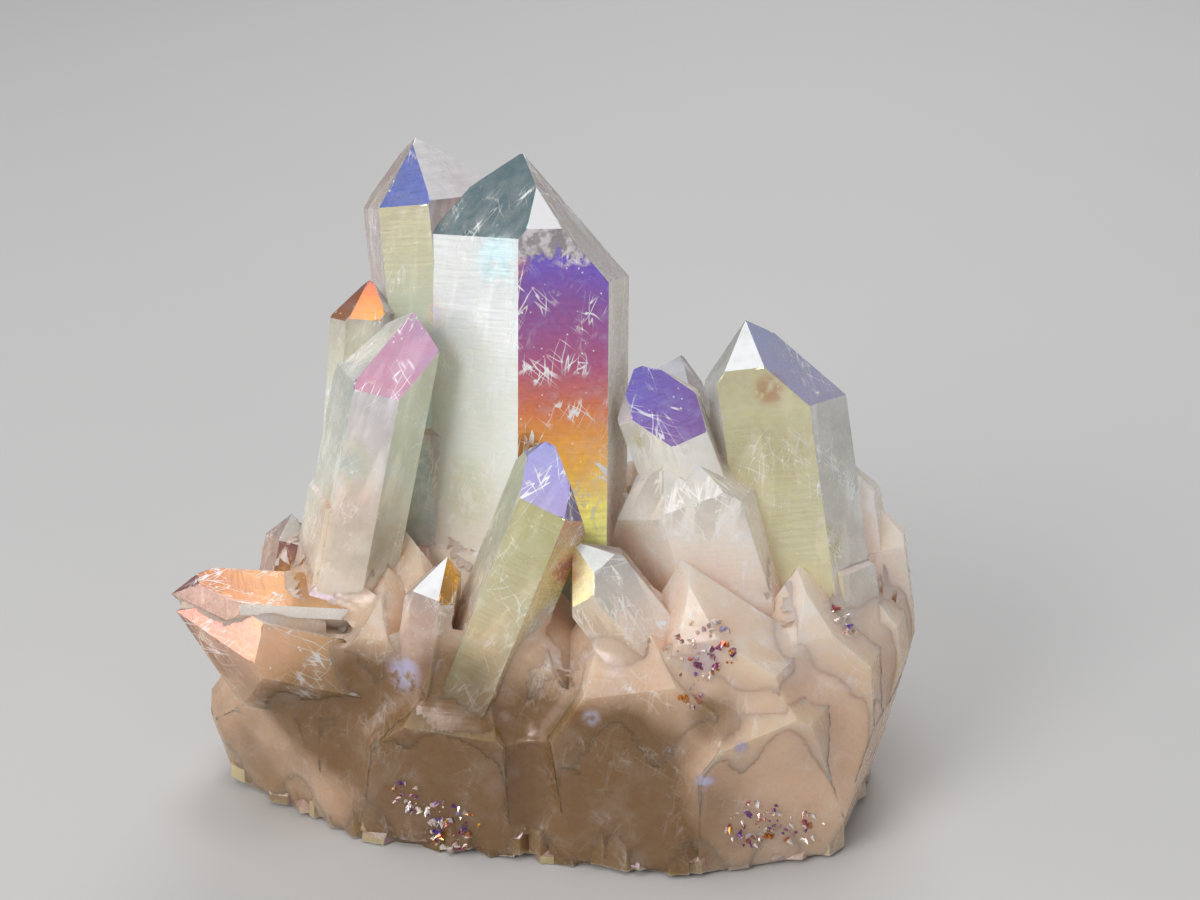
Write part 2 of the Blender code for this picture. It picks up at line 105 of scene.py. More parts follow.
CRYSTALS = [
    Crystal("main", (-1.4, 11.0, 55.8), (0.5, 15), 17, (7.2, 8.6, 8.4, 7.0, 8.8, 5.4),
            (3.1, 0.4, 0.0, 0.0, 2.8, 0.0), 42, (-4, 26),
            {0: Coat((0.22, 0.84), (11, 33), 1.0, 0.0, 0.9, 2.4),
             1: Coat((0.80, 0.60), (6, 30), 0.25, 0.6, 0.2),
             2: Coat((0.30, 0.75), (6, 30), 0.55, 0.2, 0.4),
             3: Coat((0.90, 0.70), (6, 30), 0.30, 0.5, 0.3),
             4: Coat((0.05, 0.45), (8, 30), 0.60, 0.2, 0.4),
             5: Coat((0.96, 0.82), (12, 33), 0.62, 0.80, 0.3)},
            # Cap 0's near-white coat is a painted reflection of the light above.
            {0: Coat((0.60, 0.60), (0, 8), 1.00, 0.98, 0.0),
             1: Coat((0.34, 0.46), (0, 12), 0.30, 0.5, 0.5),
             2: Coat((0.02, 0.15), (0, 10), 0.70, 0.1, 0.5),
             3: Coat((0.45, 0.62), (0, 10), 0.55, 0.2, 0.4),
             4: Coat((0.98, 0.98), (0, 10), 0.40, 0.8, 0.3),
             5: Coat((1.06, 1.02), (0, 12), 0.85, 0.12, 0.4)}),
    Crystal("rear_left", (-10.8, 16.0, 55.9), (-5, 15), -10, (5.0, 4.3, 5.5, 5.0, 4.9, 4.6),
            (0.6, 0.0, 4.0, 0.0, 1.5, 0.0), 46, (4, 26),
            {0: Coat((0.78, 0.92), (8, 20), 0.75, 0.45, 0.3),
             1: Coat((0.40, 0.60), (6, 20), 0.50, 0.3, 0.3),
             2: Coat((0.10, 0.40), (6, 30), 0.50, 0.2, 0.4),
             3: Coat((0.70, 0.30), (6, 30), 0.55, 0.2, 0.4),
             4: Coat((0.85, 0.60), (6, 30), 0.40, 0.3, 0.3),
             5: Coat((0.44, 0.62), (6, 22), 0.40, 0.4, 0.4)},
            {0: Coat((0.00, 0.02), (0, 8), 0.95, 0.15, 0.8),
             1: Coat((0.40, 0.42), (0, 8), 0.90, 0.86, 0.3),
             3: Coat((0.60, 0.75), (0, 8), 0.60, 0.2, 0.4),
             4: Coat((0.30, 0.38), (0, 8), 0.55, 0.3, 0.4),
             5: Coat((0.50, 0.60), (0, 8), 0.45, 0.4, 0.4)}),
    Crystal("middle_left", (-10.4, 4.4, 43.9), (12, 10), -12, (5.2, 3.8, 1.9, 4.0, 6.0, 4.8),
            (0.0, 3.0, 0.0, 0.0, 3.5, 0.0), 36, (5, 26),
            {0: Coat((0.36, 0.80), (8, 22), 0.55, 0.80, 0.3),
             1: Coat((0.84, 0.88), (3, 16), 0.60, 0.55, 0.3),
             2: Coat((0.84, 0.88), (3, 16), 0.60, 0.3, 0.3),
             3: Coat((0.20, 0.60), (3, 20), 0.50, 0.2, 0.4),
             4: Coat((0.60, 0.85), (3, 24), 0.50, 0.3, 0.4),
             5: Coat((0.90, 0.84), (3, 24), 0.30, 0.5, 0.3)},
            {0: Coat((0.30, 0.36), (0, 8), 0.60, 0.02, 1.0),
             1: Coat((0.30, 0.36), (0, 8), 0.60, 0.02, 1.0),
             3: Coat((0.10, 0.30), (0, 8), 0.60, 0.2, 0.4),
             4: Coat((0.60, 0.70), (0, 8), 0.50, 0.3, 0.4),
             5: Coat((0.70, 0.80), (0, 8), 0.45, 0.88, 0.7)}),
    Crystal("front", (0.9, -4.5, 35.8), (22, 8), -20, (3.4, 5.8, 5.0, 3.6, 2.2, 1.2),
            (0.0, 3.0, 1.0, 0.0, 0.0, 0.0), 25, (3, 20),
            {0: Coat((0.75, 0.88), (4, 16), 0.75, 0.20, 0.3),
             1: Coat((0.54, 0.86), (4, 10), 0.75, 0.2, 0.6),
             2: Coat((0.40, 0.70), (4, 14), 0.40, 0.3, 0.4),
             5: Coat((0.86, 0.90), (4, 20), 0.45, 0.4, 0.3)},
            {0: Coat((0.08, 0.20), (0, 6), 0.62, 0.12, 1.0),
             1: Coat((0.08, 0.22), (0, 6), 0.62, 0.12, 1.0),
             5: Coat((0.04, 0.14), (0, 6), 0.70, 0.2, 0.9)}),
    Crystal("small_right", (8.6, 4.0, 39.9), (-22, 15), 30, (4.6, 3.6, 3.8, 4.0, 3.2, 4.0),
            (-1.8, 0.0, 0.0, 0.0, 0.0, 0.6), 32, (1, 10),
            {0: Coat((0.45, 0.80), (8, 16), 0.12, 0.6, 0.3),
             5: Coat((0.90, 0.70), (3, 16), 0.20, 0.7, 0.2),
             4: Coat((0.90, 0.95), (3, 16), 0.25, 0.7, 0.2)},
            {0: Coat((0.16, 0.24), (2, 8), 0.97, 0.05, 0.9),
             5: Coat((0.36, 0.30), (0, 8), 0.35, 0.5, 0.4),
             4: Coat((0.40, 0.44), (0, 6), 0.45, 0.4, 0.4),
             1: Coat((0.55, 0.65), (0, 6), 0.50, 0.3, 0.4)}),
    Crystal("right", (17.8, 5.0, 42.9), (-9, 15), -14, (3.0, 5.9, 7.1, 6.0, 7.0, 3.7),
            (0.0, 0.0, 1.5, 0.0, 0.0, 0.0), 36, (10, 30),
            {0: Coat((0.75, 0.80), (5, 24), 0.75, 0.38, 0.3),
             1: Coat((0.92, 0.84), (5, 26), 0.45, 0.85, 0.5),
             2: Coat((0.10, 0.45), (6, 26), 0.55, 0.2, 0.4),
             3: Coat((0.45, 0.75), (6, 26), 0.50, 0.2, 0.4),
             4: Coat((0.85, 0.60), (6, 26), 0.40, 0.4, 0.4),
             5: Coat((0.92, 0.82), (6, 26), 0.40, 0.85, 0.3)},
            # Cap 0's near-white coat is a painted reflection of the light above.
            {0: Coat((0.94, 0.94), (0, 8), 0.95, 0.98, 0.1),
             1: Coat((0.02, 0.20), (0, 10), 0.90, 0.45, 0.5),
             2: Coat((0.40, 0.55), (0, 8), 0.60, 0.2, 0.4),
             3: Coat((0.65, 0.80), (0, 8), 0.50, 0.3, 0.4),
             5: Coat((0.90, 0.95), (0, 8), 0.25, 0.6, 0.3)}),
    Crystal("rear_small", (-14.6, 9.0, 45.2), (5, 15), 5, (2.6, 2.4, 2.6, 2.8, 2.6, 2.8),
            (0.0, 0.4, 0.0, 0.0, 0.0, 0.0), 34, (3, 14),
            {0: Coat((0.66, 0.80), (2, 7), 0.45, 0.45, 0.3),
             5: Coat((0.66, 0.80), (2, 7), 0.40, 0.5, 0.3)},
            {0: Coat((0.52, 0.57), (0, 4), 0.85, 0.0, 0.8),
             5: Coat((0.52, 0.57), (0, 4), 0.85, 0.0, 0.8)}),
    Crystal("tiny_left", (-22.0, 5.0, 24.6), (12, 10), 10, (1.7, 1.6, 2.0, 2.2, 1.8, 1.6),
            (0.0, 0.4, 0.0, 0.0, 0.0, 0.0), 18, (4, 12),
            {0: Coat((0.24, 0.76), (1, 6), 0.80, 0.1, 0.4),
             5: Coat((0.60, 0.40), (1, 6), 0.40, 0.4, 0.3)},
            {0: Coat((0.98, 0.98), (0, 3), 0.50, 0.9, 0.2),
             1: Coat((0.98, 0.98), (0, 3), 0.50, 0.9, 0.2)}),
    Crystal("lying_left", (-30.4, -6.5, 21.0), (-68, -14), 30, (5.0, 3.0, 4.0, 4.5, 5.8, 5.8),
            (0.0, 0.0, 0.0, 0.0, 0.0, 0.0), 20, (1, 9),
            {0: Coat((0.55, 0.63), (2, 14), 0.65, 0.0, 1.0),
             1: Coat((0.80, 0.90), (2, 16), 0.35, 0.8, 0.6),
             5: Coat((0.55, 0.63), (2, 14), 0.60, 0.0, 0.9)},
            {0: Coat((0.48, 0.54), (0, 8), 0.85, 0.0, 0.6),
             5: Coat((0.50, 0.54), (0, 8), 0.70, 0.1, 0.6)}),
    Crystal("ridge_left", (-30.9, -5.5, 22.1), (-79, -14), 30, (4.2, 1.6, 2.6, 3.0, 3.4, 3.4),
            (0.0, 0.0, 0.0, 0.0, 0.0, 0.0), 20, (1, 9),
            # Prism 0's near-white coat is partly a painted highlight along the ridge and partly
            # the face's grey-white speckle.
            {0: Coat((0.70, 0.90), (2, 12), 0.75, 0.9, 0.5),
             1: Coat((0.54, 0.61), (1, 12), 0.85, 0.0, 0.9),
             2: Coat((0.54, 0.61), (1, 12), 0.75, 0.0, 0.9),
             5: Coat((0.66, 0.95), (3, 9), 0.70, 0.6, 0.9)},
            {0: Coat((0.52, 0.56), (0, 6), 0.75, 0.3, 0.6),
             1: Coat((0.46, 0.51), (0, 6), 0.90, 0.0, 0.6),
             5: Coat((0.50, 0.58), (0, 6), 0.75, 0.2, 0.8)}),
    Crystal("small_front", (-7.3, -6.5, 26.2), (9, 8), 25, (2.6, 1.3, 3.0, 3.4, 3.0, 2.4),
            (0.0, 0.0, 0.0, 0.0, 0.0, 0.0), 18, (2, 9),
            {0: Coat((0.86, 0.90), (2, 12), 0.20, 0.7, 0.3)},
            {0: Coat((0.62, 0.66), (0, 6), 0.95, 0.0, 0.4),
             1: Coat((0.62, 0.66), (0, 6), 0.95, 0.0, 0.4),
             5: Coat((0.98, 0.98), (0, 6), 0.95, 1.0, 0.1)}),
    Crystal("slanting", (3.1, -8.0, 28.4), (-38, 8), -20, (3.2, 2.2, 2.6, 3.4, 3.6, 3.8),
            (0.0, 0.0, 0.0, 0.0, 0.0, 0.0), 20, (2, 9),
            {0: Coat((0.70, 0.90), (3, 12), 0.20, 0.6, 0.5),
             1: Coat((0.98, 0.98), (2, 12), 0.30, 0.9, 0.5)},
            {0: Coat((0.70, 0.76), (0, 6), 0.80, 0.30, 0.6),
             5: Coat((0.64, 0.72), (0, 6), 0.90, 0.1, 0.6),
             1: Coat((0.98, 0.98), (0, 6), 0.50, 0.9, 0.4)}),
]

# A coloured spot in the coat: its middle, its radius, its place on the rainbow, its strength
# and how far it is washed out. One of them is a painted glint.
Spot = namedtuple("Spot", "place radius hue strength pale")
SPOTS_AND_GLINT = [
    Spot((-3.4, 3.0, 49.2), 3.6, 0.95, 0.85, 0.35),
    Spot((-5.6, 0.6, 28.8), 4.2, 0.83, 0.60, 0.50),
    # A painted glint: a small washed-out white-blue spot that stands in for a highlight.
    Spot((-8.7, 6.8, 42.8), 1.2, 0.03, 0.90, 0.80),
    Spot((-16.0, -2.5, 32.7), 3.2, 0.88, 0.45, 0.55),
    Spot((19.3, -0.6, 33.0), 4.6, 0.77, 0.60, 0.25),
    Spot((19.6, 0.3, 38.4), 1.8, 0.62, 0.75, 0.20),
    Spot((24.5, -4.0, 26.0), 2.6, 0.80, 0.60, 0.30),
    Spot((-11.0, -9.3, 16.7), 2.2, 0.17, 0.85, 0.45),
    Spot((2.5, -9.0, 26.2), 2.0, 0.60, 0.80, 0.10),
    Spot((13.8, -13.2, 20.4), 2.6, 0.40, 0.60, 0.55),
    Spot((17.0, -16.3, 13.5), 1.0, 0.18, 0.85, 0.40),
    Spot((14.0, -16.5, 10.3), 1.3, 0.20, 0.90, 0.50),
    Spot((0.0, -11.7, 11.8), 1.2, 0.04, 0.50, 0.60),
    Spot((4.7, -14.3, 15.3), 1.1, 0.08, 0.50, 0.60),
    Spot((8.8, -1.0, 34.4), 1.1, 0.78, 0.60, 0.30),
]

# A patch of small sparkling points on the foot: its middle and its radius.
PATCHES = [((-7.5, -11.6, 3.0), 2.6), ((-11.1, -11.3, 5.4), 1.8), ((18.6, -14.8, 5.0), 2.6),
           ((22.5, -12.5, 4.0), 1.8), ((14.0, -13.0, 21.0), 2.4), ((13.2, -14.2, 18.0), 1.6),
           ((26.5, -7.0, 21.0), 1.8), ((-22.5, -6.8, 17.8), 1.5), ((9.4, -9.4, 26.6), 1.3),
           ((4.0, 19.0, 13.0), 4.0), ((-10.0, 18.0, 9.0), 3.6), ((17.0, 17.0, 15.0), 3.2),
           ((29.5, 5.0, 10.0), 2.6), ((-27.0, 4.0, 6.0), 2.4)]
# How far the edge of a patch wanders.
PATCH_EDGE = 0.7

# A stain or a pale patch in the quartz: its middle and its radius.
STAINS = [((-6.0, -12.0, 9.0), 15.0), ((5.5, -14.0, 6.0), 14.0), ((-17.0, -7.0, 13.0), 9.0),
          ((15.0, -15.0, 15.6), 3.0), ((-15.0, -3.0, 27.0), 6.0), ((6.0, 14.0, 8.0), 14.0)]

# How far off a crystal's plane a cap face, and a prism face on a growth ledge, may lie.
PLANE_REACH = 0.06
LEDGE_REACH = 1.3
# The least cosine between their normals.
SAME_WAY = 0.9996
# How far above its tip and beyond its other sides a crystal may own a face.
ABOVE_TIP = 1.0
BEYOND = 2.0
# The coat of a crystal face that the table leaves out.
PLAIN_COAT = Coat((0.3, 0.6), (0, 20), 0.3, 0.4, 0.3)
# How milky the foot's faces and the mass are at a height, and how far below it they gain 1.
FOOT_TOP = 31.0
FOOT_FADE = 9.0
FOOT_MILK = 0.55
MASS_MILK = 0.8
# The foot's hues as a start and a spread, in front and at the back.
FRONT_HUES = (0.30, 0.50)
BACK_HUES = (0.00, 0.95)
# The depths between which the foot's faint coat grows towards the back.
BACK_SIDE = (2.0, 10.0)
FAINTEST = 0.04
FAINT_SPREAD = 0.26
# The foot's smaller faces, in square millimetres, may be vivid: their chance and their strength.
VIVID_AREA = 2.5
VIVID_SHARE = 0.35
VIVID_STRENGTH = 0.55
# The heights between which the stain dies out, and the places between which it weakens to the
# right, down to its least share. The weakening to the right is painted light on the foot's lit
# side.
STAIN_HEIGHTS = (8.0, 34.0)
PAINTED_LIGHT_RIGHT = (5.0, 20.0)
LEAST_STAIN = 0.60
# The share of a spot's radius that has its full colour.
SPOT_CORE = 0.35
# Scratches: the way that they run and their width in the noise.
SCRATCHES = ((38, 0.012), (-56, 0.010), (98, 0.014))
SCRATCH_SIZES = (9.0, 1.6, 1.0)
# How far apart two crystals lie on the map that the marks are drawn on.
MARKS_APART = 40.0
# The heights between which the mass sinks away between the crystals.
MASS_TOP = (16.0, 24.0)
# The heights between which the mass stops covering the crystals' edges.
COVER_TOP = (8.0, 15.0)
# How far the mass's heights wander up and down, and how fast across the foot.
WAVE_HEIGHT = 2.0
WAVE_TURN = 0.9
# A face high in the mass with a longer edge than this, in grains, is torn and dropped.
TORN = 2.6
# The heights between which the mass starts, above the ragged lower edge.
MASS_START = (1.2, 3.6)
# A corner whose edges' inward directions add up to less than this is too sharp for a rim.
SHARPEST_CORNER = 0.5
# How near a point of a rim may come to any edge, in widths of the rim.
RIM_ROOM = 0.8
# A face is too narrow for a rim when its area is less than so many rims along its outline.
NARROW = 2.5
# Points of an outline this near each other, in millimetres, are one point.
SAME_POINT = 1e-4
# What the triangulation is asked for: the triangles inside the outline.
INSIDE_TRIANGLES = 1
# A corner with a longer edge than this, in edge spacings, isn't nicked, so its faces stay flat.
LONGEST_RIM_EDGE = 1.5
# How milky the clearest quartz is.
CLEAREST_MILK = 0.34
# The heights between which the coat on a crystal face dies out into the foot.
COAT_END = (14.0, 24.0)


class CrystalSettings(bpy.types.PropertyGroup):
    edge_spacing: FloatProperty(
        name="Edge spacing", description="Longest straight stretch of a worn edge",
        default=0.0009, min=0.0003, unit="LENGTH")
    edge_wear: FloatProperty(
        name="Edge wear", description="Deepest nick in a crystal's edge",
        default=0.00006, min=0.0, unit="LENGTH")
    edge_rim: FloatProperty(
        name="Edge rim", description="Width of the worn rim round each face",
        default=0.00012, min=0.0, unit="LENGTH")
    milk: FloatVectorProperty(
        name="Milky quartz", description="Colour of the milky quartz high in the cluster",
        default=(0.97, 0.88, 0.80), subtype="COLOR", min=0.0, max=1.0)
    peach: FloatVectorProperty(
        name="Peach quartz", description="Colour of the lightly stained quartz",
        default=(0.82, 0.56, 0.38), subtype="COLOR", min=0.0, max=1.0)
    foot: FloatVectorProperty(
        name="Foot", description="Colour of the stained quartz in the foot",
        default=(0.22, 0.115, 0.034), subtype="COLOR", min=0.0, max=1.0)


class MassSettings(bpy.types.PropertyGroup):
    grain: FloatProperty(
        name="Grain", description="Size of the smallest form in the milky mass",
        default=0.0004, min=0.0002, unit="LENGTH")
    reach: FloatProperty(
        name="Reach", description="Half width of the widest gap that the mass closes",
        default=0.0016, min=0.0, unit="LENGTH")
    sink: FloatProperty(
        name="Sink", description="How far the mass lies under the crystals' faces",
        default=0.00004, min=0.0, unit="LENGTH")
    cover: FloatProperty(
        name="Cover", description="How far the mass stands over the crystals low in the foot",
        default=0.00012, min=0.0, unit="LENGTH")
    rounding: IntProperty(
        name="Rounding", description="Times that the mass is smoothed", default=8, min=0)


class DruseSettings(bpy.types.PropertyGroup):
    density: FloatProperty(
        name="Density", description="Small points for each square millimetre of a patch",
        default=3.2, min=0.0)
    smallest: FloatProperty(
        name="Smallest", description="Half width of the smallest point",
        default=0.00010, min=0.0, unit="LENGTH")
    largest: FloatProperty(
        name="Largest", description="Half width of the largest point",
        default=0.00042, min=0.0, unit="LENGTH")
    slenderness: FloatProperty(
        name="Slenderness", description="Height of a small point over its half width",
        default=1.9, min=0.1)
    seed: IntProperty(name="Seed", description="Pattern of the small points", default=5)


class StudioSettings(bpy.types.PropertyGroup):
    camera_rise: FloatProperty(
        name="Camera rise", description="Height of the view above the horizon",
        default=math.radians(24), subtype="ANGLE")
    camera_distance: FloatProperty(
        name="Camera distance", description="From the camera to the point it looks at",
        default=0.170, unit="LENGTH")
    floor: FloatVectorProperty(
        name="Floor", description="Colour of the plain floor",
        default=(0.62, 0.61, 0.60), subtype="COLOR", min=0.0, max=1.0)


class Socket:
    """A shader output. Python arithmetic on it adds Math nodes."""

    def __init__(self, graph, output):
        self.graph = graph
        self.output = output

    def _math(self, operation, *values, clamp=False):
        inputs = dict(enumerate(values))
        settings = {"operation": operation, "use_clamp": clamp}
        return self.graph.node("ShaderNodeMath", settings, inputs)

    def __add__(self, other):
        return self._math("ADD", self, other)

    def __sub__(self, other):
        return self._math("SUBTRACT", self, other)

    def __rsub__(self, other):
        return self._math("SUBTRACT", other, self)

    def __mul__(self, other):
        return self._math("MULTIPLY", self, other)

    def __truediv__(self, other):
        return self._math("DIVIDE", self, other)

    def __abs__(self):
        return self._math("ABSOLUTE", self)

    __radd__ = __add__
    __rmul__ = __mul__

    def clamped(self):
        return self._math("MULTIPLY", self, 1.0, clamp=True)

    def _ramp(self, low, high, start, end):
        inputs = {"Value": self, "From Min": low, "From Max": high, "To Min": start, "To Max": end}
        return self.graph.node("ShaderNodeMapRange", {"interpolation_type": "SMOOTHSTEP"}, inputs)

    def above(self, low, high):
        """0 below low, 1 above high, and a smooth step between."""
        return self._ramp(low, high, 0.0, 1.0)

    def below(self, low, high):
        """1 below low, 0 above high, and a smooth step between."""
        return self._ramp(low, high, 1.0, 0.0)

    def towards(self, value, share):
        """Moved by a share of the way to a value."""
        return self.graph.node("ShaderNodeMix", {"data_type": "FLOAT"},
                               {0: share, 2: self, 3: value})


class Tree:
    """A node tree whose outputs are handled as sockets."""

    def __init__(self, tree):
        self.tree = tree

    def node(self, kind, settings=None, inputs=None, output=0):
        """A node with its settings made first, then the values or links of its sockets."""
        made = self.tree.nodes.new(kind)
        for key, value in (settings or {}).items():
            if key == "stops":
                self._stops(made.color_ramp, value)
            else:
                setattr(made, key, value)
        for key, value in (inputs or {}).items():
            socket = made.inputs[key]
            if isinstance(value, Socket):
                self.tree.links.new(value.output, socket)
            else:
                socket.default_value = value
        if isinstance(output, tuple):
            return [Socket(self, made.outputs[name]) for name in output]
        return Socket(self, made.outputs[output])

    def sink(self, kind, inputs):
        """The node that a tree ends in."""
        made = self.tree.nodes.new(kind)
        for key, value in inputs.items():
            self.tree.links.new(value.output, made.inputs[key])

    def noise(self, place, scale, detail=2.0, roughness=0.5):
        return self.node("ShaderNodeTexNoise", {},
                         {"Vector": place, "Scale": scale, "Detail": detail,
                          "Roughness": roughness}, output="Fac")

    def distance(self, place, point):
        return self.node("ShaderNodeVectorMath", {"operation": "DISTANCE"},
                         {0: place, 1: tuple(point)}, output="Value")

    def _stops(self, ramp, stops):
        while len(ramp.elements) < len(stops):
            ramp.elements.new(1.0)
        for element, (place, colour) in zip(ramp.elements, stops):
            element.position = place
            element.color = colour


class Graph(Tree):
    """The node tree of one new material."""

    def __init__(self, name):
        self.material = bpy.data.materials.new(name)
        self.material.use_nodes = True
        super().__init__(self.material.node_tree)
        self.tree.nodes.clear()

    def attribute(self, name):
        return self.node("ShaderNodeAttribute", {"attribute_name": name}, output="Fac")

    def mix(self, factor, first, second):
        """A blend of two colours."""
        return self.node("ShaderNodeMix", {"data_type": "RGBA", "clamp_factor": True},
                         {0: factor, 6: first, 7: second}, output=2)

    def stretched(self, place, turn, sizes):
        """A place turned about Z and divided by sizes, for marks that run one way."""
        return self.node("ShaderNodeMapping", {"vector_type": "TEXTURE"},
                         {"Vector": place, "Rotation": (0.0, 0.0, math.radians(turn)),
                          "Scale": sizes})

    def blend(self, factor, first, second):
        """A blend of two surfaces."""
        return self.node("ShaderNodeMixShader", {}, {0: factor, 1: first, 2: second})

    def finish(self, surface, volume=None):
        inputs = {"Surface": surface}
        if volume:
            inputs["Volume"] = volume
        self.sink("ShaderNodeOutputMaterial", inputs)
        return self.material


def rgba(colour):
    return (*colour, 1.0)


def along(lean):
    """Turns upright into a crystal's lean."""
    right, back = (math.radians(angle) for angle in lean)
    return Matrix.Rotation(right, 4, "Y") @ Matrix.Rotation(-back, 4, "X")


def face_planes(crystal):
    """(kind, number, outward normal, distance from the tip) of a crystal's faces."""
    turned = along(crystal.lean)
    steepness = math.radians(CAP_SLOPE)
    planes = []
    for number in range(FACES):
        azimuth = math.radians(crystal.turn + number * FACE_STEP)
        level = Vector((math.sin(azimuth), -math.cos(azimuth), 0.0))
        cap = level * math.cos(steepness) + UP * math.sin(steepness)
        planes.append(("prism", number, turned @ level, crystal.sides[number]))
        planes.append(("cap", number, turned @ cap, crystal.lifts[number] * cap.z))
    return planes


def face_owner(place, normal, grown):
    """The crystal face that a face of the cluster lies on, as (crystal number, kind, number)."""
    nearest = (LEDGE_REACH, None)
    for index, (crystal, axis, planes) in enumerate(grown):
        offset = place - Vector(crystal.tip)
        drop = -offset.dot(axis)
        if not -ABOVE_TIP < drop < crystal.length + BEYOND:
            continue
        if (offset + axis * drop).length > max(crystal.sides) + BEYOND:
            continue
        for kind, number, outward, distance in planes:
            gap = abs(offset.dot(outward) - distance)
            reach = LEDGE_REACH if kind == "prism" else PLANE_REACH
            if normal.dot(outward) > SAME_WAY and gap < min(reach, nearest[0]):
                nearest = (gap, (index, kind, number))
    return nearest[1]


HASH_WAVES = (12.9898, 78.233, 37.719, 4.581)
HASH_SPREAD = 43758.5453


def hashed(*values):
    """A repeatable number from 0 to 1 for a set of numbers."""
    wave = sum(value * factor for value, factor in zip(values, HASH_WAVES))
    return (math.sin(wave) * HASH_SPREAD) % 1.0


def step(value, ends):
    """0 below the first end, 1 above the second, and even between them."""
    return min(max((value - ends[0]) / (ends[1] - ends[0]), 0.0), 1.0)


def foot_coat(place, normal, area):
    """The thin coat on a face of the foot: a few small faces are vivid, the rest are pale."""
    spin = hashed(round(normal.x, 2), round(normal.y, 2), round(normal.z, 2))
    least, spread = FRONT_HUES if place.y < 0 else BACK_HUES
    hue = least + spread * spin
    if area < VIVID_AREA and hashed(spin, area) < VIVID_SHARE:
        strength = VIVID_STRENGTH
    else:
        strength = FAINTEST + FAINT_SPREAD * step(place.y, BACK_SIDE) * hashed(spin, 2.0)
    return Coat((hue, hue + 0.12), (0, 30), strength, 0.35, 0.4)


def cluster_shape():
    """The solid's surface as flat many-sided faces."""
    shape = bmesh.new()
    shape.from_mesh(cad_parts[SOLID].data)
    bmesh.ops.remove_doubles(shape, verts=shape.verts, dist=1e-6)
    bmesh.ops.dissolve_limit(shape, angle_limit=math.radians(0.1), verts=shape.verts,
                             edges=shape.edges)
    return shape


def label_faces(shape):
    """Mark each face with the number of its entry in the returned list of (owner, coat)."""
    grown = []
    for crystal in CRYSTALS:
        grown.append((crystal, along(crystal.lean) @ UP, face_planes(crystal)))
    label = shape.faces.layers.int.new("label")
    labels = []
    for face in shape.faces:
        place = face.calc_center_median() / MM + MIDDLE
        owner = face_owner(place, face.normal, grown)
        if owner:
            index, kind, number = owner
            faces = CRYSTALS[index].prisms if kind == "prism" else CRYSTALS[index].caps
            coat = faces.get(number, PLAIN_COAT)
        else:
            coat = foot_coat(place, face.normal, face.calc_area() / MM ** 2)
        face[label] = len(labels)
        labels.append((owner, coat))
    return labels


def keep_inside(verts):
    """Push vertices back into the solid's box."""
    low, high = CAD_BOX
    for vert in verts:
        vert.co = [min(max(value, least), most)
                   for value, least, most in zip(vert.co, low, high)]


def has_room(point, corners, tree, settings):
    """Whether a point of a rim keeps clear of every edge of the outline."""
    width = settings.edge_rim / MM
    for _, number, _ in tree.find_range(point.to_3d(), settings.edge_spacing / MM + width):
        for first in (number - 1, number):
            start = corners[first]
            end = corners[(first + 1) % len(corners)]
            _, share = intersect_point_line(point, start, end)
            nearest = start.lerp(end, min(max(share, 0.0), 1.0))
            if (point - nearest).length < RIM_ROOM * width:
                return False
    return True


def rim_points(corners, settings):
    """Points inside a flat outline, a rim's width in from its corners."""
    tree = KDTree(len(corners))
    for number, corner in enumerate(corners):
        tree.insert(corner.to_3d(), number)
    tree.balance()
    points = []
    for number, corner in enumerate(corners):
        before = corner - corners[number - 1]
        after = corners[(number + 1) % len(corners)] - corner
        inward = before.normalized().orthogonal() + after.normalized().orthogonal()
        if inward.length < SHARPEST_CORNER:
            continue
        point = corner + inward * (2 * settings.edge_rim / MM / inward.length_squared)
        if has_room(point, corners, tree, settings):
            points.append(point)
    return points


def fill_face(shape, face, settings):
    """Replace a flat face by triangles, with a thin rim along its edges."""
    flat = face.normal.to_track_quat("Z", "Y").to_matrix().inverted()
    outer = list(face.verts)
    middle = outer[0].co.copy()
    corners = [(flat @ (vert.co - middle)).to_2d() / MM for vert in outer]
    narrow = face.calc_area() < NARROW * settings.edge_rim * face.calc_perimeter()
    points = [] if narrow else rim_points(corners, settings)
    places, _, triangles, sources, *_ = delaunay_2d_cdt(
        corners + points, [], [list(range(len(corners)))], INSIDE_TRIANGLES, SAME_POINT)
    verts = []
    for place, source in zip(places, sources):
        if source and source[0] < len(outer):
            verts.append(outer[source[0]])
        else:
            verts.append(shape.verts.new(flat.inverted() @ place.to_3d() * MM + middle))
    label = shape.faces.layers.int["label"]
    number = face[label]
    shape.faces.remove(face)
    for triangle in triangles:
        corner_verts = [verts[corner] for corner in triangle]
        if shape.faces.get(corner_verts) is None:
            shape.faces.new(corner_verts)[label] = number


def longest_edge(vert):
    return max(edge.calc_length() for edge in vert.link_edges)


def wear_edges(shape, settings):
    """Split the edges, give each face a thin rim and nick the edges inwards."""
    for edge in list(shape.edges):
        pieces = int(edge.calc_length() / settings.edge_spacing)
        for left in range(pieces, 0, -1):
            edge = bmesh.utils.edge_split(edge, edge.verts[0], 1 / (left + 1))[0]
    shape.normal_update()
    worn = [(vert, vert.normal.copy()) for vert in shape.verts]
    for face in list(shape.faces):
        fill_face(shape, face, settings)
    loose = [vert for vert in shape.verts if not vert.link_faces]
    rimmed = [(number, vert, outwards) for number, (vert, outwards) in enumerate(worn)
              if vert.link_faces and longest_edge(vert) < LONGEST_RIM_EDGE * settings.edge_spacing]
    for number, vert, outwards in rimmed:
        vert.co -= outwards * settings.edge_wear * hashed(number, vert.co.z / MM)
    bmesh.ops.delete(shape, geom=loose, context="VERTS")
    keep_inside(shape.verts)
    shape.normal_update()


